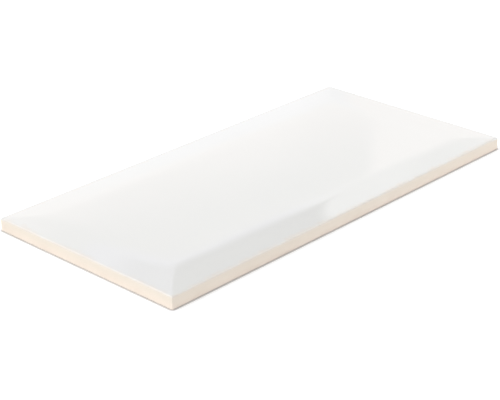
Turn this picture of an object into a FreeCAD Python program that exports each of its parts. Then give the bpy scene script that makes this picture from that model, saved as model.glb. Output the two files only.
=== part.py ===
"""Glazed ceramic wall tile, nominal 100 x 200 mm, pressed and fired as one piece.

Millimetres. X runs along the long side, Y along the short side, Z up out of the glazed face.
The origin is the middle of the tile on its back plane, so the tile lies on its back, face up.

The face is a flat field that falls away along all four sides in a shallow cushion: a rounded
shoulder, then a straight slope. The four slopes meet in a mitre at each corner. The sides are
plain and upright.
The back is a flat rim round a waffle of shallow pockets that keys into the adhesive.
"""

import FreeCAD, Part

import math
import os

# Outside size of the fired tile.
TILE_LENGTH = 198.0
TILE_WIDTH = 98.0
TILE_THICKNESS = 6.0

# Cushion: how far in from the sides the face starts to fall, the part of that width over which it
# turns down, and the angle at which it then runs down to the arris.
CUSHION_WIDTH = 18.5
SHOULDER_WIDTH = 8.0
SLOPE_DEG = 2.4

# Rounding and breaking of the edges.
ARRIS_RADIUS = 0.6
CORNER_RADIUS = 0.5
BACK_EDGE_BREAK = 0.4

# Waffle on the back: square pockets with sloping walls, between ribs that cross in the middle.
# The nearest whole number of pairs of pockets fills the back inside the rim, at about this pitch.
RIM_WIDTH = 10.25
POCKET_PITCH = 10.0
RIB_WIDTH = 2.5
POCKET_DEPTH = 0.7
POCKET_DRAFT_DEG = 40.0


def point(x, z):
    """A point of a section in the XZ plane."""
    return FreeCAD.Vector(x, 0, z)


def polar(centre, radius, angle):
    """The point at an angle above the X axis on a circle in the XZ plane."""
    return centre + point(radius * math.cos(angle), radius * math.sin(angle))


def mirrored(p):
    """The same point on the other side of the section's middle."""
    return point(-p.x, p.z)


def cushioned_section(size):
    """Section of the tile between two opposite sides, at x = +-size/2.

    From each side the outline turns over the arris, runs up the straight slope, turns over the
    shoulder, which is tangent to the slope and to the flat field, and then crosses the flat field.
    """
    half = size / 2
    slope = math.radians(SLOPE_DEG)
    square_to_slope = math.pi / 2 - slope

    shoulder_radius = SHOULDER_WIDTH / math.sin(slope)
    shoulder_centre = point(half - CUSHION_WIDTH, TILE_THICKNESS - shoulder_radius)
    field_end = polar(shoulder_centre, shoulder_radius, math.pi / 2)
    shoulder_middle = polar(shoulder_centre, shoulder_radius, math.pi / 2 - slope / 2)
    slope_head = polar(shoulder_centre, shoulder_radius, square_to_slope)

    # The arris touches the side and the slope, so its centre lies its own radius below the slope.
    run = half - ARRIS_RADIUS - slope_head.x
    fall = run * math.tan(slope) + ARRIS_RADIUS / math.cos(slope)
    arris_centre = point(half - ARRIS_RADIUS, slope_head.z - fall)
    slope_foot = polar(arris_centre, ARRIS_RADIUS, square_to_slope)
    arris_middle = polar(arris_centre, ARRIS_RADIUS, square_to_slope / 2)
    side_top = polar(arris_centre, ARRIS_RADIUS, 0)
    side_foot = point(half, 0)

    def half_outline(turn):
        return [
            Part.LineSegment(turn(side_foot), turn(side_top)),
            Part.Arc(turn(side_top), turn(arris_middle), turn(slope_foot)),
            Part.LineSegment(turn(slope_foot), turn(slope_head)),
            Part.Arc(turn(slope_head), turn(shoulder_middle), turn(field_end)),
        ]

    curves = [
        *half_outline(lambda p: p),
        Part.LineSegment(field_end, mirrored(field_end)),
        *reversed(half_outline(mirrored)),
        Part.LineSegment(mirrored(side_foot), side_foot),
    ]
    return Part.Face(Part.Wire([curve.toShape() for curve in curves]))


def cushioned_slab(size, run):
    """The section between two opposite sides drawn out along Y over the given run."""
    slab = cushioned_section(size).extrude(FreeCAD.Vector(0, run, 0))
    slab.translate(FreeCAD.Vector(0, -run / 2, 0))
    return slab


def rounded_block():
    """An upright block with the tile's outline in plan, its corners rounded and its back edge broken."""
    block = Part.makeBox(
        TILE_LENGTH,
        TILE_WIDTH,
        TILE_THICKNESS,
        FreeCAD.Vector(-TILE_LENGTH / 2, -TILE_WIDTH / 2, 0),
    )
    uprights = [e for e in block.Edges if e.BoundBox.ZLength > TILE_THICKNESS / 2]
    block = block.makeFillet(CORNER_RADIUS, uprights)
    back_edges = [e for e in block.Edges if e.BoundBox.ZMax < TILE_THICKNESS / 2]
    return block.makeChamfer(BACK_EDGE_BREAK, back_edges)


def cushioned_blank():
    """The pressed blank: what the two slabs and the block have in common, which mitres the slopes."""
    along = cushioned_slab(TILE_LENGTH, TILE_WIDTH)
    across = cushioned_slab(TILE_WIDTH, TILE_LENGTH)
    across.rotate(FreeCAD.Vector(0, 0, 0), FreeCAD.Vector(0, 0, 1), 90)
    return along.common(across).common(rounded_block())


def pocket_row(size):
    """Places of the pockets between two opposite sides, and the pitch that fits them inside the rim."""
    run = size - 2 * RIM_WIDTH + RIB_WIDTH
    pairs = max(1, round(run / (2 * POCKET_PITCH)))
    count = 2 * pairs
    pitch = run / count
    places = [(number - (count - 1) / 2) * pitch for number in range(count)]
    return places, pitch


def pocket(pitch_x, pitch_y):
    """One pocket as a solid, widest at the back plane and narrowing to its floor at the draft angle."""
    mouth_x = (pitch_x - RIB_WIDTH) / 2
    mouth_y = (pitch_y - RIB_WIDTH) / 2
    inset = POCKET_DEPTH * math.tan(math.radians(POCKET_DRAFT_DEG))
    floor_x = mouth_x - inset
    floor_y = mouth_y - inset
    # The wedge grows along its own Y, which is then turned to point up.
    solid = Part.makeWedge(
        -mouth_x, 0, -mouth_y, -floor_y, -floor_x, mouth_x, POCKET_DEPTH, mouth_y, floor_y, floor_x
    )
    solid.rotate(FreeCAD.Vector(0, 0, 0), FreeCAD.Vector(1, 0, 0), 90)
    return solid


def waffle():
    """All the pockets, centred on the back."""
    columns, pitch_x = pocket_row(TILE_LENGTH)
    rows, pitch_y = pocket_row(TILE_WIDTH)
    one = pocket(pitch_x, pitch_y)
    pockets = []
    for x in columns:
        for y in rows:
            copy = one.copy()
            copy.translate(FreeCAD.Vector(x, y, 0))
            pockets.append(copy)
    return Part.makeCompound(pockets)


def tile():
    """The whole tile, one solid."""
    return cushioned_blank().cut(waffle())


os.makedirs("parts", exist_ok=True)
tile().exportStep("parts/tile.step")
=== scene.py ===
"""White glazed wall tile lying face up on a pale floor, dressed over its CAD frame.

Metres, in the frame of the CAD: X along the tile's long side, Y along its short side, Z up out of
the glazed face. The tile's own sizes are in millimetres and are turned into metres with MM.
"""

import bpy
import numpy as np
from mathutils import Matrix, Vector


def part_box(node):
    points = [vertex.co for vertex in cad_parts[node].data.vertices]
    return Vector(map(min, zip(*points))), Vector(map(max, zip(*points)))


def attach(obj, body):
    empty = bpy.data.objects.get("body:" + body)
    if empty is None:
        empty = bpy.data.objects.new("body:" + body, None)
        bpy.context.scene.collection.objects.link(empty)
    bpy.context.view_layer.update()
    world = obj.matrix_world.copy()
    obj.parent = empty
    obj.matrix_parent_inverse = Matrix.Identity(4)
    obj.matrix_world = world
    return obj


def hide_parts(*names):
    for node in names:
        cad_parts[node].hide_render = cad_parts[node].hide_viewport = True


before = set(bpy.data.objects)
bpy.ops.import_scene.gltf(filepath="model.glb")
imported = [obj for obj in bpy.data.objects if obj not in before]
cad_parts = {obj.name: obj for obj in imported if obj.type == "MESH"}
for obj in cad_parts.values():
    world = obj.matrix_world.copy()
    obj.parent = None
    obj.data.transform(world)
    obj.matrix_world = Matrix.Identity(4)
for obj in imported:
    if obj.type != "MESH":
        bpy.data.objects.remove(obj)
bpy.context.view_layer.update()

scene = bpy.context.scene

# The pressed and fired tile: one body of pale clay, dust-pressed in a steel mould with a cushioned
# face and a waffle back. It is meshed as two sheets of the same grid lines, face and back, joined
# round the sides.
MM = 0.001
low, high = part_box("tile")
half_length, half_width, thickness = high.x / MM, high.y / MM, high.z / MM

cushion_width = 18.5
shoulder_width = 8.0
slope = np.radians(2.4)
mitre_blend = 0.012
arris_radius = 0.6
corner_radius = 0.3
wave_height, wave_fade = 0.02, 4.0
wave_lengths = (29, 36, 41, 48, 55, 62, 74, 90)

back_break, break_width = 0.2, 0.12
back_relief, relief_width = 0.08, 0.6
first_pocket = 14.0
pocket_pitch = 10.0
pocket_half = 3.75
pocket_depth = 0.7
pocket_corner = 0.9
wall_run = (-0.15, 0.75)

side_rows = 11
side_hollow = 0.03

arris_turn = np.array([0, 18, 36, 54, 72, 87.6])
arris_lines = arris_radius * (1 - np.cos(np.radians(arris_turn)))
rim_lines = np.arange(0.8, 9.3, 0.7)
wall_lines = np.array([-0.15, 0.05, 0.3, 0.55, 0.75, pocket_half])


def pocket_centres(half):
    """Places of the pockets of the waffle between two opposite sides."""
    reach = half - first_pocket
    return np.arange(-reach, reach + 0.5 * pocket_pitch, pocket_pitch)


def mesh_lines(half):
    """Places of the grid lines between two opposite sides, closest at the arris and pocket walls."""
    ends = half - np.concatenate([arris_lines, rim_lines])
    walls = pocket_centres(half)[:, None] + pocket_half - wall_lines
    return np.unique(np.round(np.concatenate([ends, -ends, walls.ravel(), -walls.ravel()]), 4))


def eased(start, end, value):
    """0 before start, 1 after end, with a smooth turn at both."""
    share = np.clip((value - start) / (end - start), 0, 1)
    return share * share * (3 - 2 * share)


def cushion(inset):
    """Height of the face this far in from one side: arris, straight slope, shoulder, flat field."""
    shoulder_radius = shoulder_width / np.sin(slope)
    shoulder_centre = thickness - shoulder_radius
    past = np.clip(cushion_width - inset, 0, shoulder_width)
    shoulder = shoulder_centre + np.sqrt(shoulder_radius**2 - past**2)
    slope_head = cushion_width - shoulder_width
    straight = np.clip(slope_head - inset, 0, None) * np.tan(slope)
    arris_inset = arris_radius * (1 - np.sin(slope))
    arris_centre = (
        shoulder_centre
        + shoulder_radius * np.cos(slope)
        - (slope_head - arris_radius) * np.tan(slope)
        - arris_radius / np.cos(slope)
    )
    over = np.clip(arris_radius - inset, 0, arris_radius)
    arris = arris_centre + np.sqrt(arris_radius**2 - over**2)
    return np.where(inset < arris_inset, arris, shoulder - straight)


def lower_of(one, other, blend):
    """The lower of two heights, rounded where they cross."""
    return (one + other - np.sqrt((one - other) ** 2 + blend**2)) / 2 + blend / 2


def rolling(x, y, seed, lengths):
    """Smooth rolling, mostly within -1.5 to 1.5, made of waves of these lengths, each its own way."""
    random = np.random.default_rng(seed)
    total = np.zeros(np.broadcast(x, y).shape)
    for length in lengths:
        heading, phase = random.uniform(0, 2 * np.pi, 2)
        along = x * np.cos(heading) + y * np.sin(heading)
        total += np.cos(2 * np.pi * along / length + phase)
    return total / np.sqrt(len(lengths))


def rounded_plan(x, y):
    """The grid's points with the tile's corners rounded in plan."""
    past_x = np.abs(x) - (half_length - corner_radius)
    past_y = np.abs(y) - (half_width - corner_radius)
    inside = (past_x > 0) & (past_y > 0)
    reach = np.where(inside, np.hypot(past_x, past_y), 1)
    pull = np.where(inside, np.maximum(past_x, past_y) / reach, 1)
    return (
        np.where(inside, np.sign(x) * (half_length - corner_radius + past_x * pull), x),
        np.where(inside, np.sign(y) * (half_width - corner_radius + past_y * pull), y),
    )


def off_centre(value, half):
    """Distance to the nearest pocket's centre line, with its sign."""
    centres = pocket_centres(half)
    nearest = np.clip(np.round((value - centres[0]) / pocket_pitch), 0, len(centres) - 1)
    return value - (centres[0] + nearest * pocket_pitch)


def face_heights(x, y):
    """Heights of the glazed face, with the glaze's slow waves inside the arris."""
    inset_x, inset_y = half_length - np.abs(x), half_width - np.abs(y)
    inset = np.minimum(inset_x, inset_y)
    height = lower_of(cushion(inset_x), cushion(inset_y), mitre_blend)
    waves = eased(-2.2, 2.2, rolling(x, y, 3, wave_lengths))
    return height - wave_height * waves * eased(arris_radius, wave_fade, inset)


def back_heights(x, y):
    """Heights of the waffle back: a flat rim and ribs, rounded pockets and a broken outer edge."""
    inset = np.minimum(half_length - np.abs(x), half_width - np.abs(y))
    away_x = np.abs(off_centre(x, half_length)) - (pocket_half - pocket_corner)
    away_y = np.abs(off_centre(y, half_width)) - (pocket_half - pocket_corner)
    outside = np.hypot(np.maximum(away_x, 0), np.maximum(away_y, 0))
    inward = pocket_corner - outside - np.minimum(np.maximum(away_x, away_y), 0)
    pocket = pocket_depth * eased(*wall_run, inward)
    worn = 1 + 0.06 * rolling(x, y, 5, (3.1, 4.3, 7.7, 13))
    relief = back_relief * worn * np.clip(1 - inset / relief_width, 0, None)
    broken = (back_break - back_relief) * worn * np.clip(1 - inset / break_width, 0, None)
    return pocket + relief + broken


lines_x, lines_y = mesh_lines(half_length), mesh_lines(half_width)
grid_x, grid_y = np.meshgrid(lines_x, lines_y, indexing="ij")
plan_x, plan_y = rounded_plan(grid_x, grid_y)
face_z, back_z = face_heights(grid_x, grid_y), back_heights(grid_x, grid_y)

count = grid_x.size
face_index = np.arange(count).reshape(grid_x.shape)
back_index = face_index + count


def perimeter(sheet):
    """The sheet's outermost values, in order round the tile, anticlockwise from above."""
    return np.concatenate([sheet[:-1, 0], sheet[-1, :-1], sheet[:0:-1, -1], sheet[0, :0:-1]])


edge_x, edge_y = perimeter(plan_x), perimeter(plan_y)
around = len(edge_x)
rings = [perimeter(face_index)]
side_points = []
for row in range(1, side_rows):
    share = row / side_rows
    z = perimeter(face_z) * (1 - share) + perimeter(back_z) * share
    press = side_hollow * eased(-1.6, 1.6, rolling(edge_x + edge_y, z * 4, 8, (5, 9, 17, 31)))
    hollow = 1 - press * np.sin(np.pi * share) / np.hypot(edge_x, edge_y)
    side_points.append(np.stack([edge_x * hollow, edge_y * hollow, z], 1))
    rings.append(2 * count + (row - 1) * around + np.arange(around))
rings.append(perimeter(back_index))


def sheet_triangles(index, along_x, along_y):
    """Two triangles to each square of a sheet, split along the mitre of the quarter that it is in."""
    # The square's corners, anticlockwise from above.
    a, b, c, d = index[:-1, :-1], index[1:, :-1], index[1:, 1:], index[:-1, 1:]
    middle_x = (along_x[:-1] + along_x[1:])[:, None]
    middle_y = (along_y[:-1] + along_y[1:])[None, :]
    rising = (middle_x * middle_y > 0)[..., None]
    first = np.where(rising, np.stack([a, b, c], -1), np.stack([a, b, d], -1))
    second = np.where(rising, np.stack([a, c, d], -1), np.stack([b, c, d], -1))
    return np.concatenate([first.reshape(-1, 3), second.reshape(-1, 3)])


faces = sheet_triangles(face_index, lines_x, lines_y).tolist()
pocket_x, pocket_y = off_centre(lines_x, half_length), off_centre(lines_y, half_width)
faces += sheet_triangles(back_index, pocket_x, pocket_y)[:, ::-1].tolist()
for upper, lower in zip(rings, rings[1:]):
    quads = np.stack([upper, lower, np.roll(lower, -1), np.roll(upper, -1)], 1)
    faces += quads.tolist()

points = np.concatenate([
    np.stack([plan_x, plan_y, face_z], -1).reshape(-1, 3),
    np.stack([plan_x, plan_y, back_z], -1).reshape(-1, 3),
    *side_points,
])
mesh = bpy.data.meshes.new("glazed_tile")
mesh.from_pydata((points * MM).tolist(), [], faces)
mesh.shade_smooth()
tile = bpy.data.objects.new("glazed_tile", mesh)
scene.collection.objects.link(tile)


class Wire:
    """One output of a node. Arithmetic on it adds Math nodes to the same tree."""

    def __init__(self, tree, socket=None):
        self.tree = tree
        self.socket = socket

    def node(self, kind, settings=None, inputs=None, output=0):
        """Adds a node of this kind, sets it up, then fills its sockets with values or wires."""
        made = self.tree.nodes.new("ShaderNode" + kind)
        for name, value in (settings or {}).items():
            setattr(made, name, value)
        for name, value in (inputs or {}).items():
            if isinstance(value, Wire):
                self.tree.links.new(value.socket, made.inputs[name])
            else:
                made.inputs[name].default_value = value
        return Wire(self.tree, made.outputs[output]) if len(made.outputs) else made

    def math(self, operation, *values):
        inputs = dict(enumerate(values))
        return self.node("Math", {"operation": operation}, inputs)

    def __add__(self, other):
        return self.math("ADD", self, other)

    def __sub__(self, other):
        return self.math("SUBTRACT", self, other)

    def __rsub__(self, other):
        return self.math("SUBTRACT", other, self)

    def __mul__(self, other):
        return self.math("MULTIPLY", self, other)

    def __truediv__(self, other):
        return self.math("DIVIDE", self, other)

    def __abs__(self):
        return self.math("ABSOLUTE", self)

    def at_least(self, other):
        return self.math("MAXIMUM", self, other)

    def at_most(self, other):
        return self.math("MINIMUM", self, other)

    __radd__ = __add__
    __rmul__ = __mul__

    def ramp(self, start, end):
        """0 before start, 1 after end, with a smooth turn at both."""
        settings = {"interpolation_type": "SMOOTHSTEP"}
        inputs = {"Value": self, "From Min": start, "From Max": end}
        return self.node("MapRange", settings, inputs)

    def blend(self, colour, other):
        """The first colour where this is 0, the other where it is 1."""
        settings = {"data_type": "RGBA"}
        return self.node("Mix", settings, {"Factor": self, 6: colour, 7: other}, output=2)


# The finish: an opaque white glaze fired to a gloss over the face and run thin over the arris,
# where the warm clay shows through it. Sides and back are bare biscuit with a fine pressed grain.
white = (0.836, 0.842, 0.823, 1)
white_cloud = (0.830, 0.836, 0.817, 1)
thin_glaze = (0.84, 0.78, 0.705, 1)
clay = (0.897, 0.812, 0.71, 1)
clay_dark = (0.867, 0.777, 0.675, 1)
# Painted shade: the clay's colour up the sides towards the glaze.
clay_painted_shade = (0.835, 0.772, 0.67, 1)
glaze_end, arris_height = 4.7, 5.4
glaze_roughness, clay_roughness = 0.03, 0.85
grain_height, peel_height = 0.014, 0.003

material = bpy.data.materials.new("white_glaze_on_biscuit")
material.use_nodes = True
material.node_tree.nodes.clear()
wire = Wire(material.node_tree)
place = wire.node("TexCoord", output="Object")
in_mm = wire.node("VectorMath", {"operation": "SCALE"}, {0: place, "Scale": 1 / MM})


def split(vector):
    """The three parts of a vector."""
    parts = vector.node("SeparateXYZ", inputs={0: vector}).socket.node
    return [Wire(vector.tree, part) for part in parts.outputs]


def noise(vector, size, detail=2, roughness=0.5):
    """Cloudy noise from 0 to 1 whose patches are about this many millimetres across."""
    inputs = {"Vector": vector, "Scale": 1 / size, "Detail": detail, "Roughness": roughness}
    return vector.node("TexNoise", inputs=inputs)


x, y, z = split(in_mm)
inset = (half_length - abs(x)).at_most(half_width - abs(y))
uneven = noise(in_mm, 5) - 0.5
glaze_line = glaze_end + 0.3 * uneven + 0.1 * (noise(in_mm, 0.8) - 0.5)
glazed = (z - glaze_line).ramp(-0.04, 0.04)

# The glaze thins towards the arris, but keeps its body along the two far sides.
far_sides = (x / half_length).at_least(y / half_width).ramp(0.93, 0.99)
thick = 0.3 * inset + 1.9 * (z - arris_height) + 2.2 * uneven
thick = thick.ramp(-0.9, 1.0).at_least(far_sides)
cloud = noise(in_mm, 38, detail=3).ramp(0.3, 0.7)
glaze_colour = thick.blend(thin_glaze, cloud.blend(white, white_cloud))

# The clay is mottled, and painted shade darkens it a little up towards the glaze.
grain = noise(in_mm, 0.35, detail=3, roughness=0.65)
mottle = (0.6 * noise(in_mm, 9, detail=4) + 0.4 * grain).ramp(0.38, 0.62)
clay_colour = z.ramp(0.5, 5.2).blend(mottle.blend(clay_dark, clay), clay_painted_shade)

# Relief in millimetres: the pressed grain on the clay, and a faint orange peel on the glaze.
peel = noise(in_mm, 7, detail=1)
relief = grain_height * grain + (peel_height * peel - grain_height * grain) * glazed
normal = wire.node("Bump", inputs={"Height": relief, "Distance": MM})

shader = wire.node(
    "BsdfPrincipled",
    inputs={
        "Base Color": glazed.blend(clay_colour, glaze_colour),
        "Roughness": clay_roughness + (glaze_roughness - clay_roughness) * glazed,
        "Normal": normal,
        "IOR": 1.5,
    },
)
wire.node("OutputMaterial", inputs={"Surface": shader})
mesh.materials.append(material)

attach(tile, "root")
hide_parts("tile")


# The studio floor: a white sweep that runs out of sight on all sides, with the tile lying on it.
# It is open under the tile and clear from below, so that the tile's back can be looked at.
floor_reach = 6.0
floor_under_tile = 0.55
contact_reach = 1.5
contact_grey = (0.625, 0.612, 0.61, 1)
# The paper seen straight or in the glaze is painted slightly blue, to cancel the warm light the clay
# throws on it.
paper_lit, paper_seen = (0.9, 0.9, 0.9, 1), (0.88, 0.91, 0.925, 1)
paper_lift = 0.26
black, full_white = (0, 0, 0, 1), (1, 1, 1, 1)

open_x, open_y = (half_length - floor_under_tile) * MM, (half_width - floor_under_tile) * MM
corners = [(-1, -1), (1, -1), (1, 1), (-1, 1)]
floor_points = [(sx * open_x, sy * open_y, 0) for sx, sy in corners]
floor_points += [(sx * floor_reach, sy * floor_reach, 0) for sx, sy in corners]
floor_faces = [(k, k + 4, (k + 1) % 4 + 4, (k + 1) % 4) for k in range(4)]
floor_mesh = bpy.data.meshes.new("studio_floor")
floor_mesh.from_pydata(floor_points, [], floor_faces)
floor = bpy.data.objects.new("studio_floor", floor_mesh)
scene.collection.objects.link(floor)

floor_material = bpy.data.materials.new("white_sweep")
floor_material.use_nodes = True
floor_material.node_tree.nodes.clear()
wire = Wire(floor_material.node_tree)
path = wire.node("LightPath").socket.node
seen = Wire(wire.tree, path.outputs["Is Camera Ray"])
mirrored = Wire(wire.tree, path.outputs["Is Glossy Ray"])
through = Wire(wire.tree, path.outputs["Is Transmission Ray"])
shows = seen + mirrored + through
geometry = wire.node("NewGeometry").socket.node
from_below = Wire(wire.tree, geometry.outputs["Backfacing"]) * seen

# The narrow grey shade along the tile's foot. The other paper is lifted to white where it is seen,
# straight or in the glaze, by a glow that doesn't light the clay.
shade_reach = {"Distance": contact_reach * MM}
open_sky = wire.node("AmbientOcclusion", {"samples": 8}, shade_reach, output="AO")
contact = (1 - open_sky.ramp(0.7, 1.0)) * shows
paper = wire.node(
    "BsdfPrincipled",
    inputs={
        "Base Color": contact.blend(shows.blend(paper_lit, paper_seen), contact_grey),
        "Roughness": 0.9,
        "Specular IOR Level": 0.0,
        "Emission Color": (shows - contact).blend(black, full_white),
        "Emission Strength": paper_lift,
    },
)
clear = wire.node("BsdfTransparent")
surface = wire.node("MixShader", inputs={"Fac": from_below, 1: paper, 2: clear})
wire.node("OutputMaterial", inputs={"Surface": surface})
floor_mesh.materials.append(floor_material)


# The studio round it, by direction: pale walls, the same in all four quarters, with a window, and
# beside it a wall with a bright panel below and a gap above. A soft box is high on the left, a small
# skylight overhead and a low strip behind the camera. Below the floor, the right is brighter.
world = bpy.data.worlds.new("studio")
scene.world = world
world.use_nodes = True
world.node_tree.nodes.clear()
wire = Wire(world.node_tree)
east, north, z = split(wire.node("TexCoord", output="Generated"))
x, y = abs(east), abs(north)
across = (y - x).at_least(-0.2).at_most(0.25)
beside = (y - 0.812 * x).ramp(-0.005, 0.007)

# The wall beside the window: its top edge, softest in the middle, and the gap above it, which is
# dark next to the window. A brighter streak stands there on the wall.
wall_level, gap_level = 1.10, 0.10
over_wall = z - (0.466 + 0.16 * across + 0.6 * across * across)
edge_blur = 0.012 + 0.2 * (across + 0.11).at_least(0).at_most(0.06) - 0.013 * across.ramp(0.02, 0.07)
wall = 1 - (over_wall / edge_blur).ramp(-1, 1)
gap = gap_level + 0.55 * (y - 1.07 * x).ramp(-0.012, 0.012)
streak = 0.16 * z.ramp(0.412, 0.427) * (1 - across.ramp(-0.105, -0.06))

# The bright panel over its lower part, brightest near the floor.
panel_level = 1.25
panel_top = (0.404 + 0.2 * across).at_least(0.367 + 0.5 * across)
panel = 1 - (z - panel_top).ramp(-0.022, 0.022)
near_floor = 1 - z.ramp(0.35, 0.41)
bright = panel_level + 0.2 * across.ramp(-0.105, -0.02)
bright = bright + (0.09 + 0.12 * across.ramp(-0.02, 0.15)) * near_floor
behind = gap + (wall_level + streak - gap) * wall + (bright - wall_level) * panel

# The window, brighter below, with a thin curtain over its upper part away from the wall.
window_level = 1.10
glow = 1 - z.ramp(0.405, 0.434)
curtain = 0.14 * (0.72 * x - y).ramp(-0.012, 0.02) * z.ramp(0.39, 0.415)
window = (window_level + 0.29 * glow + 0.07 * z.ramp(0.35, 0.40)) * (1 - curtain)

# All the walls, dimmer at the foot and flanks, then the soft box, strip and skylight.
foot = 0.3 + 0.7 * z.ramp(0.21, 0.31)
flank = 0.7 + 0.3 * (x * y).ramp(0.08, 0.33)
walls = (window + (behind - window) * beside) * foot * flank
soft_box = 0.288 + 4.37 * (0.574 * north - 0.819 * east).at_least(0)
strip = 1.19 * (0 - 0.588 * north - 0.809 * east).at_least(0) * (1 - z.ramp(0.05, 0.3))
skylight = (0.085 - abs(east + 0.105)).ramp(-0.012, 0.012)
skylight = skylight * (0.115 - abs(north - 0.035)).ramp(-0.012, 0.012)
studio = walls * (1 - z.ramp(0.56, 0.75)) + soft_box * z.ramp(0.5, 0.8) + strip
studio = studio + 1.8 * skylight * z.ramp(0.8, 0.9)
under_floor = 0.5 + 1.2 * (0.8 * east - 0.6 * north).ramp(-0.4, 0.9)
light = studio + (under_floor - studio) * (0 - z).ramp(0.0, 0.02)

# The light is slightly warm from the panel and the window's lower part, and slightly cool from the
# wall's foot and along its top edge. The camera itself sees plain white.
warm, cool, fringe_blue = (1.055, 1, 0.99, 1), (1, 1, 1.05, 1), (1, 1, 1.2, 1)
plain = (1, 1, 1, 1)
warm_part = (beside * panel + (1 - beside) * glow) * (1 - beside * (1 - z.ramp(0.335, 0.36)))
fringe_top = z - 0.06 * across.ramp(0.0, 0.06)
fringe = beside * across.ramp(-0.13, -0.05) * over_wall.ramp(-0.03, -0.015)
fringe = fringe * (1 - fringe_top.ramp(0.465, 0.50))
tint = warm_part.blend(plain, warm)
tint = (beside * (1 - z.ramp(0.325, 0.355))).blend(tint, cool)
tint = fringe.blend(tint, fringe_blue)

path = wire.node("LightPath").socket.node
seen = Wire(wire.tree, path.outputs["Is Camera Ray"])
background = wire.node(
    "Background",
    inputs={
        "Color": seen.blend(tint, plain),
        "Strength": light + (1 - light) * seen,
    },
)
wire.node("OutputWorld", inputs={"Surface": background})


# A small soft lamp low at the front right, which brightens the far end of the long side. It is a
# light only: the camera and the glaze don't see it.
lamp_place, lamp_target = Vector((260, -200, 60)) * MM, Vector((90, -49, 3)) * MM
lamp_data = bpy.data.lights.new("side_lamp", "AREA")
lamp_data.size = 0.12
lamp_data.energy = 0.09
lamp = bpy.data.objects.new("side_lamp", lamp_data)
scene.collection.objects.link(lamp)
lamp_turn = (lamp_target - lamp_place).to_track_quat("-Z", "Y").to_matrix().to_4x4()
lamp.matrix_world = Matrix.Translation(lamp_place) @ lamp_turn
lamp.visible_camera = False
lamp.visible_glossy = False


# The camera, low over the tile's front corner with a long lens.
camera_place = Vector((-422.8, -401.9, 262.5)) * MM
elevation, heading, roll = np.radians([24.69, 44.07, -1.015])
camera_data = bpy.data.cameras.new("camera")
camera_data.lens = 110.01
camera_data.sensor_width = 36
camera_data.clip_start, camera_data.clip_end = 0.05, 50
camera = bpy.data.objects.new("camera", camera_data)
scene.collection.objects.link(camera)
look = Vector((
    np.cos(heading) * np.cos(elevation), np.sin(heading) * np.cos(elevation), -np.sin(elevation)
))
turn = look.to_track_quat("-Z", "Y").to_matrix().to_4x4() @ Matrix.Rotation(roll, 4, "Z")
camera.matrix_world = Matrix.Translation(camera_place) @ turn
scene.camera = camera

scene.view_settings.view_transform = "Standard"
